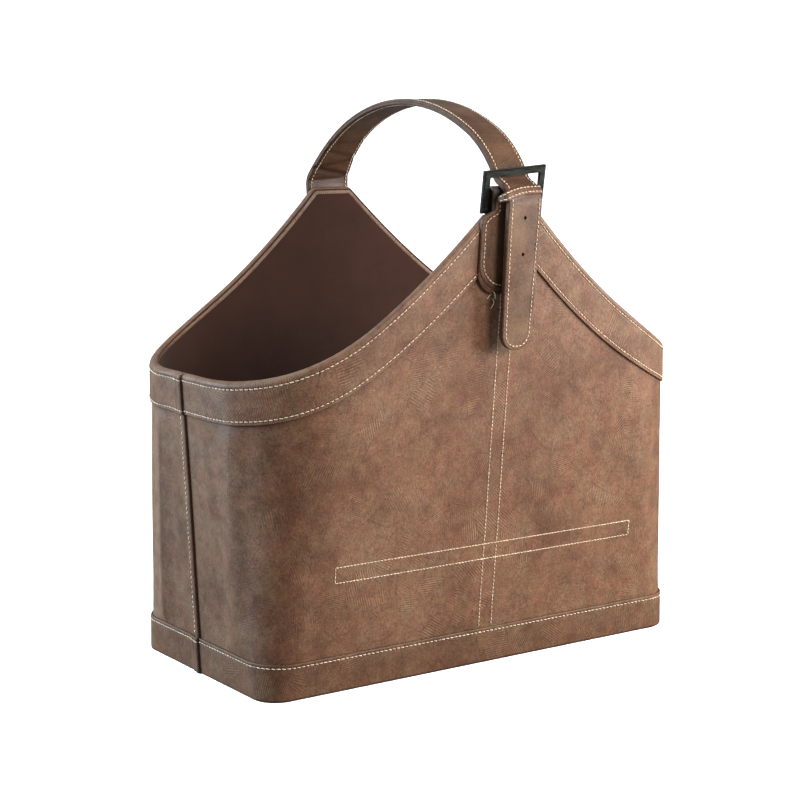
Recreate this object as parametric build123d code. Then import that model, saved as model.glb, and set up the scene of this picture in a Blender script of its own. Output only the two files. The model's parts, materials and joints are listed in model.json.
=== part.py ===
"""Soft-sided magazine basket with a buckled strap handle.

A boarded, leather-covered box flares upward and its two long faces rise to a
peak.  A strap runs from the rear peak over to the front peak, through a
rectangular ring, and its free tail hangs down the front.

Frame: millimetres, +X along the long face, front face toward -Y, +Z up,
origin on the floor under the middle of the base.
"""
import os
from math import atan, copysign, cos, degrees, radians, sin, tan

from build123d import *

# Body outline, measured over the bands
BASE_WIDTH = 380.0
BASE_DEPTH = 184.5
BASE_CORNER = 20.0
FLARE_HEIGHT = 225.0
SIDE_FLARE = 13.7
FACE_FLARE = 18.6
CORNER_GROWTH = 64.0
END_FLAT = 1.5

# Rim curve: level on the end walls, rising to a flat peak on the faces
END_HEIGHT = 224.0
PEAK_HEIGHT = 345.6
PEAK_HALF = 17.5
RIM_REACH = 206.0
RIM_POWER = 1.60
PEAK_FILLET = 6.0

# The front wall stops short of its peak, under the leather fold of the ring
FRONT_TRIM = 7.5
FRONT_TOP = PEAK_HEIGHT - FRONT_TRIM

# Layer thicknesses, from the outside in
BAND = 1.6
COVER = 1.4
BOARD = 2.4
LINING = 1.0
RIM_CAP = 1.4
WALL = BAND + COVER + BOARD + LINING

# Base
SOLE = 1.4
BASE_BOARD = 4.0
FLOOR = SOLE + BASE_BOARD
BAND_LIFT = 0.6

# Bands and the lapped end seams
TOP_BAND = 29.8
BASE_BAND = 28.0
LAP = 10.0
LAP_THICK = 1.2
LAP_ROOT = 2.0
END_BOARD_HALF = 52.0
APRON_INSET = 1.0

# Strap: two plies, wider where it leaves the rear peak
STRAP_HALF = 15.0
STRAP_REAR_HALF = 19.5
PLY = 2.1
STRAP = 2 * PLY
REAR_LEG = 64.0
REAR_LEG_RISE = 1.4
REAR_LEG_FILLET = 9.0

# Bends of the strap from the rear peak to the front one: each radius as a
# share of the peak's distance from the middle, and the turn in degrees
STRAP_BENDS = (
    (0.138, 39.7),
    (1.075, 29.2),
    (1.440, 53.2),
    (0.698, 31.6),
    (0.0945, -38.5),
)
LAST_BEND = 0.143

# Hanging tail, hinged a little below the last bend
TAIL_DROP = 13.4
TAIL_LENGTH = 90.1
TAIL_TIP_HALF = 13.2
TAIL_TIP_FILLET = 12.2
TAIL_GAP = 0.3
HOLE_RADIUS = 1.3
HOLE_DROPS = (8.6, 34.7)

# Ring buckle, measured up from the middle of its foot bar
RING_WIDTH = 54.5
RING_BAR = 5.0
RING_FOOT_BAR = 2.6
RING_THICK = 2.8
RING_BEVEL = 0.8
RING_REACH = 29.6
RING_LEAN = 13.0
RING_ROLL = 4.2
PIVOT_RISE = 3.6

# Leather fold over the foot bar, and the stitched tab in front of it
LOOP = 1.3
LOOP_HALF = 20.5
LOOP_RISE = 7.8
INNER_LEG = 33.6
TAB = 1.4
TAB_SHIFT = -4.0
TAB_HALF = 25.8
TAB_DROP = 64.8
TAB_SHOULDER = 13.3
TAB_SHOULDER_SLOPE = 0.5
TAB_FOOT_FILLET = 17.0
TAB_SHOULDER_FILLET = 7.0
TAB_INSET = 0.6
NECK_HALF = 17.5
NECK_GAP = 0.15

# Keeper, an arc of leather round the strap's last bend
KEEPER = 1.3
KEEPER_GAP = 0.12
KEEPER_BACK_GAP = 2.8
KEEPER_START = 11.0
KEEPER_SWEEP = 31.0

SPAN = 300.0
LOFT_SPARE = 4.4
LOFT_TOP = PEAK_HEIGHT + LOFT_SPARE


def half_width(z):
    return BASE_WIDTH / 2 + SIDE_FLARE * z / FLARE_HEIGHT


def half_depth(z):
    return BASE_DEPTH / 2 + FACE_FLARE * z / FLARE_HEIGHT


def corner(z):
    """Corner radius, which leaves a little of the end wall straight."""
    grown = BASE_CORNER + CORNER_GROWTH * z / FLARE_HEIGHT
    return min(grown, half_depth(z) - END_FLAT)


def rim_height(x):
    """Height of the rim over the long axis."""
    run = (abs(x) - PEAK_HALF) / (RIM_REACH - PEAK_HALF)
    run = min(max(run, 0.0), 1.0)
    return END_HEIGHT + (PEAK_HEIGHT - END_HEIGHT) * (1 - run) ** RIM_POWER


def lowered_rim(x, drop):
    """Height of a line that keeps a set distance below the rim."""
    turns = [radians(a) for a in range(-90, 91, 3)]
    return min(rim_height(x + drop * sin(a)) - drop * cos(a) for a in turns)


def under_rim(drop, fillet_radius=0.0):
    """Everything below the lowered rim, as one block through the basket."""
    slope = RIM_POWER * (PEAK_HEIGHT - END_HEIGHT) / (RIM_REACH - PEAK_HALF)
    knee = PEAK_HALF - drop * tan(atan(slope) / 2)
    stops = [0.08, 0.2, 0.35, 0.5, 0.65, 0.8, 0.92]
    run = [(knee, PEAK_HEIGHT - drop)]
    for stop in stops:
        x = knee + (RIM_REACH - knee) * stop
        run.append((x, lowered_rim(x, drop)))
    run.append((RIM_REACH, END_HEIGHT - drop))
    right = Spline(*run, tangents=((1, -slope), (1, 0)))
    left = Spline(*[(-x, z) for x, z in run], tangents=((-1, -slope), (-1, 0)))
    frame = Polyline(
        (RIM_REACH, END_HEIGHT - drop),
        (SPAN, END_HEIGHT - drop),
        (SPAN, -SPAN),
        (-SPAN, -SPAN),
        (-SPAN, END_HEIGHT - drop),
        (-RIM_REACH, END_HEIGHT - drop),
    )
    top = Line(run[0], (-knee, PEAK_HEIGHT - drop))
    face = make_face([*right.edges(), *left.edges(), *frame.edges(), *top.edges()])
    if fillet_radius:
        peak = [v for v in face.vertices() if v.Y > PEAK_HEIGHT - drop - 0.01]
        face = fillet(peak, fillet_radius)
    return extrude(Plane.XZ * face, SPAN, both=True)


def section(z, inset):
    width = 2 * (half_width(z) - inset)
    depth = 2 * (half_depth(z) - inset)
    return Plane.XY.offset(z) * RectangleRounded(width, depth, corner(z) - inset)


def body(inset, foot, top):
    """The flared body, set in from the bands' outer face."""
    return loft([section(foot, inset), section(top, inset)], ruled=True)


def layer(outer, inner, foot, top=LOFT_TOP):
    return body(outer, foot, top) - body(inner, foot, top)


def slab(x0, x1, y0, y1, z0, z1):
    """A plain block between two corners."""
    size = (x1 - x0, y1 - y0, z1 - z0)
    centre = ((x0 + x1) / 2, (y0 + y1) / 2, (z0 + z1) / 2)
    return Pos(*centre) * Box(*size)


def before(y):
    return slab(-SPAN, SPAN, -SPAN, y, -SPAN, 2 * SPAN)


def behind(y):
    return slab(-SPAN, SPAN, y, SPAN, -SPAN, 2 * SPAN)


def between(y0, y1, z0=-SPAN, z1=2 * SPAN):
    return slab(-SPAN, SPAN, y0, y1, z0, z1)


def under(z):
    return slab(-SPAN, SPAN, -SPAN, SPAN, -SPAN, z)


RIM = under_rim(0.0, PEAK_FILLET)
RIM_INSIDE = under_rim(RIM_CAP, PEAK_FILLET - RIM_CAP)
FRONT_RIM = RIM & under(FRONT_TOP)
FRONT_RIM_INSIDE = RIM_INSIDE & under(FRONT_TOP - RIM_CAP)
BAND_FOOT = under_rim(TOP_BAND)


def make_base():
    sole = body(BAND, 0, SOLE)
    board = body(WALL - LINING, SOLE, FLOOR)
    lining = body(WALL, FLOOR, FLOOR + LINING)
    return {"base_cover": sole, "base_board": board, "floor_lining": lining}


def make_boards():
    shell = layer(BAND + COVER, WALL - LINING, SOLE) & RIM_INSIDE
    ends = shell & between(-END_BOARD_HALF, END_BOARD_HALF)
    return {
        "front_board": shell & before(-END_BOARD_HALF) & FRONT_RIM_INSIDE,
        "rear_board": shell & behind(END_BOARD_HALF),
        "left_end_board": ends & slab(-SPAN, 0, -SPAN, SPAN, -SPAN, SPAN),
        "right_end_board": ends & slab(0, SPAN, -SPAN, SPAN, -SPAN, SPAN),
    }


def make_linings():
    shell = layer(WALL - LINING, WALL, FLOOR) & RIM_INSIDE
    return {
        "front_lining": shell & before(0) & FRONT_RIM_INSIDE,
        "rear_lining": shell & behind(0),
    }


def make_covers():
    """Two leather wraps; the rear one laps over the front one at the ends."""
    shell = layer(BAND, BAND + COVER, SOLE) & RIM_INSIDE
    lap_top = END_HEIGHT - TOP_BAND
    lap = layer(BAND - LAP_THICK, BAND, SOLE)
    lap = lap & between(0, LAP + LAP_ROOT, BASE_BAND, lap_top)
    return {
        "front_cover": shell & before(LAP) & FRONT_RIM_INSIDE,
        "rear_cover": (shell & behind(LAP)) + lap,
    }


def rim_wrap(outside, inside):
    """Leather that folds over a rim and meets the lining."""
    return (layer(0, WALL, FLOOR) & outside) - (body(BAND, FLOOR, LOFT_TOP) & inside)


def aprons():
    """Where the bands reach down, hidden behind the tab and the rear leg."""
    leg_half = STRAP_REAR_HALF - APRON_INSET
    leg = hanging(0, REAR_LEG - 2 * APRON_INSET, leg_half, leg_half, REAR_LEG_FILLET)
    front = extrude(FRONT * shield(APRON_INSET), 2 * WALL, both=True)
    return front + extrude(REAR * leg, 2 * WALL, both=True)


def make_top_bands():
    below = BAND_FOOT - aprons()
    front = rim_wrap(FRONT_RIM, FRONT_RIM_INSIDE) & before(LAP)
    rear = rim_wrap(RIM, RIM_INSIDE) & behind(LAP)
    lap = layer(-LAP_THICK, 0, FLOOR) & RIM & between(0, LAP + LAP_ROOT)
    return {
        "front_top_band": front - below,
        "rear_top_band": (rear - below) + (lap - below),
    }


def make_base_bands():
    wrap = layer(0, BAND, BAND_LIFT, BASE_BAND)
    lap = layer(-LAP_THICK, 0, BAND_LIFT, BASE_BAND) & between(0, LAP + LAP_ROOT)
    return {
        "front_base_band": wrap & before(LAP),
        "rear_base_band": (wrap & behind(LAP)) + lap,
    }


# Directions on the sloping faces: each plane stands on its face at the peak,
# with its own Y up the slope and its own Z outward
LEAN = FACE_FLARE / FLARE_HEIGHT
REACH = half_depth(PEAK_HEIGHT)
FRONT = Plane((0, -REACH, PEAK_HEIGHT), x_dir=(1, 0, 0), z_dir=(0, -1, -LEAN))
REAR = Plane((0, REACH, PEAK_HEIGHT), x_dir=(-1, 0, 0), z_dir=(0, 1, -LEAN))
SIDE = Plane((0, -REACH, PEAK_HEIGHT), x_dir=(0, -1, -LEAN), z_dir=(-1, 0, 0))


def flat_vector(point):
    """A point of the side view as (y, z)."""
    return Vector(point.Y, point.Z)


def strap_run(depth):
    """Arcs of the strap in side view, at a depth under its outer face."""
    place = flat_vector(REAR.from_local_coords((0, REAR_LEG_RISE, STRAP - depth)))
    heading = flat_vector(REAR.y_dir)
    turned = sum(turn for _, turn in STRAP_BENDS)
    last_turn = 180 + 2 * degrees(atan(LEAN)) - turned
    arcs = []
    for share, turn in (*STRAP_BENDS, (LAST_BEND, last_turn)):
        radius = share * REACH - copysign(depth, turn)
        arc = JernArc(place, heading, radius, turn)
        place = arc @ 1
        heading = arc % 1
        arcs.append(arc)
    return arcs


LAST_ARC = strap_run(0)[-1]
KEEPER_CENTRE = LAST_ARC.arc_center
KEEPER_RADIUS = LAST_BEND * REACH
BEND_END = FRONT.to_local_coords(Vector(0, (LAST_ARC @ 1).X, (LAST_ARC @ 1).Y))
TAIL_OUT = BEND_END.Z
TAIL_TOP = BEND_END.Y - TAIL_DROP


def arch(near, far):
    """One ply of the arched strap, down to the line where the tail hinges."""
    lines = []
    ends = []
    for depth in (near, far):
        arcs = strap_run(depth)
        last = arcs[-1]
        drop = Line(last @ 1, (last @ 1) + (last % 1) * TAIL_DROP)
        lines += [*arcs, drop]
        ends.append((arcs[0] @ 0, drop @ 1))
    caps = [Line(ends[0][end], ends[1][end]) for end in (0, 1)]
    face = make_face([line.edge() for line in lines + caps])
    return extrude(Plane.YZ * face, STRAP_REAR_HALF, both=True)


def strap_plan():
    """Plan outline of the strap: parallel, widening at the rear peak."""
    growth = STRAP_REAR_HALF - STRAP_HALF
    shares = ((0.33, 0), (0.8, 0.16), (0.96, 0.53), (1.04, 1))
    run = [(STRAP_HALF + growth * wide, REACH * along) for along, wide in shares]
    right = Spline(*run, tangents=((0, 1), (0.6, 1)))
    left = Spline(*[(-x, y) for x, y in run], tangents=((0, 1), (-0.6, 1)))
    front = Polyline(
        run[0], (STRAP_HALF, -SPAN), (-STRAP_HALF, -SPAN), (-run[0][0], run[0][1])
    )
    rear = Line(run[-1], (-run[-1][0], run[-1][1]))
    edges = [*right.edges(), *left.edges(), *front.edges(), *rear.edges()]
    return extrude(make_face(edges), 2 * SPAN)


def hanging(top, length, half, foot_half, fillet_radius):
    """A strip below a level, with its two foot corners rounded."""
    corners = ((-half, top), (half, top), (foot_half, top - length), (-foot_half, top - length))
    strip = make_face(Polyline(*corners, close=True).edges())
    foot = strip.vertices().sort_by(Axis.Y)[:2]
    return fillet(foot, fillet_radius)


def punch(drop):
    """A round hole straight through the hanging strap."""
    return FRONT * Pos(0, -drop, TAIL_OUT) * Cylinder(HOLE_RADIUS, 4 * STRAP)


def make_strap():
    plan = strap_plan()
    leg_half = STRAP_REAR_HALF
    leg = hanging(REAR_LEG_RISE, REAR_LEG, leg_half, leg_half, REAR_LEG_FILLET)
    plies = {"strap_face": (0.0, PLY), "strap_backing": (PLY, STRAP)}
    made = {}
    for name, (near, far) in plies.items():
        rear_leg = REAR.offset(STRAP - far) * extrude(leg, far - near)
        made[name] = (arch(near, far) & plan) + rear_leg - punch(HOLE_DROPS[0])
    return made


def make_tail():
    """Free end of the strap, two plies, tapering to a rounded tip."""
    top = TAIL_TOP - TAIL_GAP
    strip = hanging(top, TAIL_LENGTH, STRAP_HALF, TAIL_TIP_HALF, TAIL_TIP_FILLET)
    plies = {"tail_face": PLY, "tail_backing": STRAP}
    made = {}
    for name, depth in plies.items():
        ply = FRONT.offset(TAIL_OUT - depth) * extrude(strip, PLY)
        made[name] = ply - punch(HOLE_DROPS[1])
    return made


def keeper_arc(inner, outer, half):
    """Part of a tube round the strap's last bend."""
    tube = Circle(outer) - Circle(inner)
    ray = SPAN * Vector(-1, 0).rotate(Axis.Z, -KEEPER_START)
    end_ray = ray.rotate(Axis.Z, -KEEPER_SWEEP)
    wedge = make_face(Polyline((0, 0), ray, end_ray, close=True).edges())
    arc = Pos(KEEPER_CENTRE.X, KEEPER_CENTRE.Y) * (tube & wedge)
    return extrude(Plane.YZ * arc, half, both=True)


def make_keeper():
    """Closed loop of leather round the strap, loose behind it."""
    inner = KEEPER_RADIUS - STRAP - KEEPER_BACK_GAP
    outer = KEEPER_RADIUS + KEEPER_GAP
    half = STRAP_HALF + KEEPER_GAP
    block = keeper_arc(inner - KEEPER, outer + KEEPER, half + KEEPER)
    return {"keeper_loop": block - keeper_arc(inner, outer, half)}


def make_ring():
    """Flat rectangular ring with bevelled front edges and a slim foot bar."""
    height = RING_REACH + RING_FOOT_BAR / 2
    middle = (RING_REACH - RING_FOOT_BAR / 2) / 2
    window = height - RING_BAR - RING_FOOT_BAR
    window_middle = (RING_REACH - RING_BAR + RING_FOOT_BAR / 2) / 2
    outer = Pos(0, middle) * Rectangle(RING_WIDTH, height)
    inner = Pos(0, window_middle) * Rectangle(RING_WIDTH - 2 * RING_BAR, window)
    ring = extrude(outer - inner, RING_THICK / 2, both=True)
    front = ring.faces().sort_by(Axis.Z)[-1]
    ring = chamfer(front.outer_wire().edges(), RING_BEVEL)
    pivot = FRONT.from_local_coords((0, PIVOT_RISE - FRONT_TRIM, -WALL / 2))
    upright = Rot(90 + RING_LEAN, 0, 0) * Rot(0, 0, RING_ROLL)
    return {"buckle_ring": Pos(*pivot) * upright * ring}


def shield(inset=0.0):
    """Front view of the tab: shoulders sloping to the neck, rounded foot."""
    half = TAB_HALF - inset
    foot = inset - TAB_DROP
    neck_foot = TAB_SHOULDER_SLOPE * (TAB_HALF - NECK_HALF) - TAB_SHOULDER
    outline = make_face(
        Polyline(
            (-half, foot),
            (half, foot),
            (half, -TAB_SHOULDER),
            (NECK_HALF, neck_foot - inset),
            (-NECK_HALF, neck_foot - inset),
            (-half, -TAB_SHOULDER),
            close=True,
        ).edges()
    )
    lowest = outline.vertices().sort_by(Axis.Y)[:2]
    outline = fillet(lowest, TAB_FOOT_FILLET)
    sides = [v for v in outline.vertices() if abs(v.Y + TAB_SHOULDER) < 0.1]
    return Pos(TAB_SHIFT, 0) * fillet(sides, TAB_SHOULDER_FILLET)


def make_loop():
    """Leather folded over the ring's foot bar, one leg inside, one in front."""
    ring = Circle(WALL / 2 + LOOP) - Circle(WALL / 2)
    upper = Pos(0, WALL) * Rectangle(4 * WALL, 2 * WALL)
    bend = Pos(-WALL / 2, LOOP_RISE) * (ring & upper)
    inner_length = LOOP_RISE + INNER_LEG
    inner_leg = Pos(-WALL - LOOP / 2, LOOP_RISE - inner_length / 2) * Rectangle(LOOP, inner_length)
    outer_length = LOOP_RISE + 2 * TAB_SHOULDER
    outer_leg = Pos(LOOP / 2, LOOP_RISE - outer_length / 2) * Rectangle(LOOP, outer_length)
    fold = extrude(SIDE * (bend + inner_leg + outer_leg), LOOP_HALF, both=True)
    return {"buckle_loop": fold + FRONT * extrude(shield(TAB_INSET), LOOP)}


def make_tab():
    """Stitched shield on the front peak with a neck reaching to the keeper."""
    plate = FRONT.offset(LOOP) * extrude(shield(), TAB)
    back = KEEPER_RADIUS - STRAP - KEEPER_BACK_GAP - KEEPER - NECK_GAP
    reach = back * Vector(-1, 0).rotate(Axis.Z, -KEEPER_START - KEEPER_SWEEP / 3)
    top = SIDE.to_local_coords(Vector(0, KEEPER_CENTRE.X + reach.X, KEEPER_CENTRE.Y + reach.Y))
    foot = -TAB_SHOULDER
    neck = make_face(
        Polyline(
            (LOOP, foot),
            (LOOP + TAB, foot),
            (top.X, top.Y),
            (top.X - TAB, top.Y),
            close=True,
        ).edges()
    )
    neck = Pos(TAB_SHIFT, 0, 0) * extrude(SIDE * neck, NECK_HALF, both=True)
    return {"buckle_tab": plate + neck}


MAKERS = (
    make_base,
    make_boards,
    make_linings,
    make_covers,
    make_top_bands,
    make_base_bands,
    make_strap,
    make_tail,
    make_keeper,
    make_ring,
    make_loop,
    make_tab,
)


def main():
    os.makedirs("parts", exist_ok=True)
    for maker in MAKERS:
        for name, shape in maker().items():
            export_step(shape, f"parts/{name}.step")
            size = shape.bounding_box().size
            print(f"{name}: {len(shape.solids())} solid, {size.X:.1f} {size.Y:.1f} {size.Z:.1f}")


main()
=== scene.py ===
"""Looks of the magazine basket: leather, threads, lining, ring, light and camera.

Sizes are in millimetres until a mesh is made, and lights are placed in metres.
The front face looks toward -Y.
"""
import json
import math
import random

import bpy
import numpy as np
from mathutils import Matrix, Vector, noise


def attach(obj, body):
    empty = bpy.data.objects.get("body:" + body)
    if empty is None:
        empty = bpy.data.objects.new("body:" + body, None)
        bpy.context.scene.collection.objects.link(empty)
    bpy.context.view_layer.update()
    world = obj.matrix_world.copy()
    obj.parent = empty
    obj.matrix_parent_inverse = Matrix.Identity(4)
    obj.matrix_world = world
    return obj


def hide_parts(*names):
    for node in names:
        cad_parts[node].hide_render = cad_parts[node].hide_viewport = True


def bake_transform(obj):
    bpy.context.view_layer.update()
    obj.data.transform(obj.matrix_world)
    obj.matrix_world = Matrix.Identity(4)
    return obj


MM = 0.001

# Body and rim
BASE_WIDTH = 380.0
BASE_DEPTH = 184.5
BASE_CORNER = 20.0
FLARE_HEIGHT = 225.0
SIDE_FLARE = 13.7
FACE_FLARE = 18.6
CORNER_GROWTH = 64.0
END_HEIGHT = 224.0
PEAK_HEIGHT = 345.6
PEAK_HALF = 17.5
RIM_REACH = 206.0
RIM_POWER = 1.60
PEAK_FILLET = 6.0
FRONT_TOP = PEAK_HEIGHT - 7.5

# Layers, bands and the lapped seam
BAND = 1.6
WALL = 6.4
SOLE = 1.4
BAND_LIFT = 0.6
TOP_BAND = 29.8
BASE_BAND = 28.0
LAP = 10.0
LAP_THICK = 1.2
LAP_ROOT = 2.0
LAP_TUCK = -0.4
UNDERLAP = 0.06
TOP_UNDERLAP = 0.16
FOLDED_EDGE = ((0.9, 0.08), (0.5, -0.05), (0.2, -0.3), (0.0, -0.8), (0.0, -BAND - 0.1))
ROLL_HALF = 2.4
ROLL_HEIGHT = 0.9
FRONT_CREASE = 55.0
REAR_CREASE = 54.5
REAR_CREASE_LEAN = 0.09
CREASE_HEIGHT = 3.0
CREASE_HALF = 14.0
OFF_END = -99.0
FACET_WIDTH = 30.0

# Strap, tail, keeper and tab
STRAP_HALF = 15.0
STRAP_REAR_HALF = 19.5
STRAP = 4.2
REAR_LEG = 64.0
REAR_LEG_RISE = 1.4
REAR_LEG_FILLET = 9.0
STRAP_BENDS = ((0.138, 39.7), (1.075, 29.2), (1.440, 53.2), (0.698, 31.6), (0.0945, -38.5))
LAST_BEND = 0.143
TAIL_DROP = 13.4
TAIL_LENGTH = 90.4
TAIL_TIP_HALF = 13.2
TAIL_TIP_FILLET = 12.2
STRAP_STEP = 1.3
STRAP_END_ROUND = 0.9
FACE_SAMPLES = 25
HOLE_RADIUS = 1.3
HOLE_DROPS = (8.6, 34.7)
HOLE_OUT = 10.7
HOLE_CUT = 16.0
KEEPER = 1.3
KEEPER_GAP = 0.12
KEEPER_BACK_GAP = 2.8
KEEPER_START = 23.2
KEEPER_SWEEP = 22.0
KEEPER_SLACK = 3.0
KEEPER_DROOP = 12.0
DROOP_START = 8.0
KEEPER_ROW = 0.27
SPLIT_ANGLE = 24.5
LOOP = 1.3
TAB = 1.4
TAB_SHIFT = -4.0
TAB_HALF = 25.8
TAB_DROP = 61.5
TAB_SKIRT = 2.9
TAB_SHOULDER = 9.5
TAB_SHOULDER_SLOPE = 0.5
TAB_FOOT_FILLET = 20.0
TAB_SHOULDER_FILLET = 7.0
NECK_HALF = 14.5
NECK_TOP = 3.9
NECK_LIFT = 0.7

# Sewing
PITCH = 3.7
STITCH = 2.95
THREAD = 0.36
RIM_ROW = 4.8
FOOT_ROW = 2.9
EDGE_ROW = 3.0
TAB_ROW = 3.4
CENTRE_LINES = 5.8
POCKET_HALF = 137.0
POCKET_LOW = 82.0
POCKET_HIGH = 93.5
CENTRE_SEWING = {"pitch": 3.0, "length": 2.45}
POCKET_SEWING = {"pitch": 2.9, "length": 2.7}
STRAP_SEWING = {"pitch": 3.2, "length": 2.3}
KEEPER_SEWING = {"pitch": 3.2, "length": 2.4}
STRAP_FACES = (-0.05, STRAP + 0.05)
LOOSE_THREAD = 0.22
LOOSE_STEPS = 12
LOOSE_STEP = 0.95

# One stitch: share of its length, lift, share of its thickness
SECTIONS = (
    (-0.5, -0.3, 0.6),
    (-0.36, 0.16, 0.95),
    (0.0, 0.3, 1.05),
    (0.36, 0.16, 0.95),
    (0.5, -0.3, 0.6),
)
RING = 6

# Camera fitted to the photograph, and stage
CAMERA_TURN = 35.3
CAMERA_TILT = 9.3
CAMERA_ROLL = 0.4
CAMERA_AWAY = 1509.7
CAMERA_LEFT = 10.6
CAMERA_DROP = 32.4
AIM_HEIGHT = 220.0
LENS = 88.14
FLOOR_NEAR = -3000.0
STAGE_HALF = 5000.0
COVE_START = 1500.0
COVE = 1200.0
COVE_TOP = 4000.0
BACKDROP = 4500.0
BACKDROP_ENDS = (-3000.0, 6000.0)

# Front half, then rear half
HALVES = (False, True)

LEAN = FACE_FLARE / FLARE_HEIGHT
SLANT = math.hypot(1, LEAN)


def half_width(z):
    return BASE_WIDTH / 2 + SIDE_FLARE * z / FLARE_HEIGHT


def half_depth(z):
    return BASE_DEPTH / 2 + FACE_FLARE * z / FLARE_HEIGHT


def corner(z):
    return BASE_CORNER + CORNER_GROWTH * z / FLARE_HEIGHT


def unit(value):
    """Limits a share to between nought and one."""
    return np.clip(value, 0, 1)


def bell(distance, half):
    """One at nought, falling away on both sides."""
    return np.exp(-((distance / half) ** 2))


def normed(direction):
    """Directions brought to a length of one."""
    return direction / np.linalg.norm(direction, axis=-1, keepdims=True)


REACH = half_depth(PEAK_HEIGHT)
TURNS = np.radians(np.arange(-90, 91, 3))


def rim_height(x):
    run = unit((np.abs(x) - PEAK_HALF) / (RIM_REACH - PEAK_HALF))
    return END_HEIGHT + (PEAK_HEIGHT - END_HEIGHT) * (1 - run) ** RIM_POWER


def lowered_rim(x, drop):
    """Height of a line at a set distance under the rim."""
    spread = np.asarray(x, float)[..., None] + drop * np.sin(TURNS)
    return np.min(rim_height(spread) - drop * np.cos(TURNS), axis=-1)


def rim_line(x, drop):
    """The same, with the two corners of the peak rounded."""
    if drop >= PEAK_FILLET:
        return lowered_rim(x, drop)
    grown = PEAK_FILLET - drop
    spread = np.asarray(x, float)[..., None] + grown * np.sin(TURNS)
    return np.max(lowered_rim(spread, PEAK_FILLET) + grown * np.cos(TURNS), axis=-1)


def wall(turn, z, out=0.0, rear=False):
    """Points on the wall; turn runs 0 to 5 from the left seam round one half."""
    turn, z, out = np.broadcast_arrays(np.asarray(turn, float), z, out)
    wide = half_width(z) + out
    deep = half_depth(z) + out
    round_off = corner(z) + out
    left = turn < 2.5
    part = np.where(left, turn, 5 - turn)
    arc = unit(part - 1) * np.pi / 2
    x = round_off - wide - round_off * np.cos(arc)
    x = x + (wide - round_off) * np.clip(part - 2, 0, None) * 2
    y = (round_off - deep) * np.clip(part, None, 1) - round_off * np.sin(arc)
    return np.stack([np.where(left, x, -x), -y if rear else y, z], axis=-1)


def under_rim(turn, drop, out=0.0, rear=False):
    """Points on the wall at a set distance under the rim."""
    z = np.full(np.shape(turn), END_HEIGHT - drop)
    for _ in range(12):
        z = rim_line(wall(turn, z, out)[..., 0], drop)
    if not rear:
        z = np.minimum(z, FRONT_TOP - drop)
    return wall(turn, z, out, rear)


def spread_turns(over=0.0):
    """Samples round one half of the wall, closest together at its two seams."""
    seam = np.linspace(0, 1, 30, endpoint=False) ** 1.5
    left = np.linspace(1, 2, 34, endpoint=False)
    face = np.linspace(2, 2.5, 95, endpoint=False)
    half = np.concatenate([seam, left, face])
    turns = np.concatenate([half, [2.5], 5 - half[::-1]])
    if over:
        turns = np.concatenate([[-over], turns, [5 + over]])
    return turns


def half_turns(rear, under):
    """Samples for one half of a wrap: the front runs on under the lap, the rear tucks in."""
    if rear:
        return np.concatenate([[0.0], spread_turns(), [5.0]])
    return spread_turns(under)


def from_seam(turn, z):
    """Distance from the nearer end seam, measured along the end wall."""
    return np.minimum(turn, 5 - turn) * (half_depth(z) - corner(z))


def lap_lift(turn, z):
    """How far the rear half stands out at its lap, which ends in a rolled edge."""
    along = from_seam(turn, z)
    fade = unit((LAP + LAP_ROOT - along) / (2 * LAP_ROOT))
    roll = np.sqrt(unit(1 - (along / ROLL_HALF - 1) ** 2))
    return LAP_THICK * fade * fade * (3 - 2 * fade) + ROLL_HEIGHT * roll


def wrap_lift(turns, z, rear):
    """Lift of a wrap at its lap, whose hidden edges tuck in."""
    if not rear:
        return np.zeros_like(turns)
    lift = lap_lift(turns, z)
    lift[[0, -1]] = LAP_TUCK
    return lift


def past_crease(turn, z, rear):
    """Distance past an end board's edge, towards the corner; OFF_END off the end walls."""
    place = REAR_CREASE - REAR_CREASE_LEAN * z if rear else FRONT_CREASE
    on_end = (turn < 2) | (turn > 3)
    return np.where(on_end, np.abs(wall(turn, z)[..., 1]) - place, OFF_END)


def crease_lift(turn, z, rear):
    """Ridge that the edge of an end board pushes up in the leather."""
    return CREASE_HEIGHT * unit(1 - np.abs(past_crease(turn, z, rear)) / CREASE_HALF)


def facet_highlight(past):
    """Painted highlight on the strip between the rear crease and the rear corner."""
    return unit(past / 2) * unit((FACET_WIDTH - past) / 12)


def band_lift(turn, z, rear):
    """How far a top band stands out over the creases and its lap."""
    lift = 0.35 * crease_lift(turn, z, rear)
    return lift + lap_lift(turn, z) if rear else lift


def seam_shade(turn, z, rear):
    """Shade in the nook beside the lap's rolled edge."""
    along = from_seam(turn, z)
    if rear:
        return 0.75 * unit(1 - along / ROLL_HALF)
    return 0.6 * bell(along, 2.2)


def seam_wear_and_highlight(turn, z):
    """Lighter crest of the lap's rolled edge: wear, with painted highlight."""
    return 0.55 * bell(from_seam(turn, z) - 1.5 * ROLL_HALF, 1.0)


# Meshes

def finish_mesh(obj, body, angle=50.0):
    for polygon in obj.data.polygons:
        polygon.use_smooth = True
    obj.data.set_sharp_from_angle(angle=math.radians(angle))
    if body:
        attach(obj, body)
    return obj


def new_object(name, points, faces, material):
    mesh = bpy.data.meshes.new(name)
    mesh.from_pydata((np.asarray(points, float) * MM).tolist(), [], faces)
    mesh.materials.append(material)
    obj = bpy.data.objects.new(name, mesh)
    bpy.context.scene.collection.objects.link(obj)
    return obj


def grid_faces(rows, columns, closed=False):
    """Quads of a grid of points; closed joins the last column to the first."""
    faces = []
    for r in range(rows - 1):
        for c in range(columns if closed else columns - 1):
            d = (c + 1) % columns
            low = r * columns
            high = low + columns
            faces.append((low + c, low + d, high + d, high + c))
    return faces


def lengths(points):
    """Distance run along a line of points."""
    gaps = np.linalg.norm(np.diff(points, axis=0), axis=1)
    return np.concatenate([[0], np.cumsum(gaps)])


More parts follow.
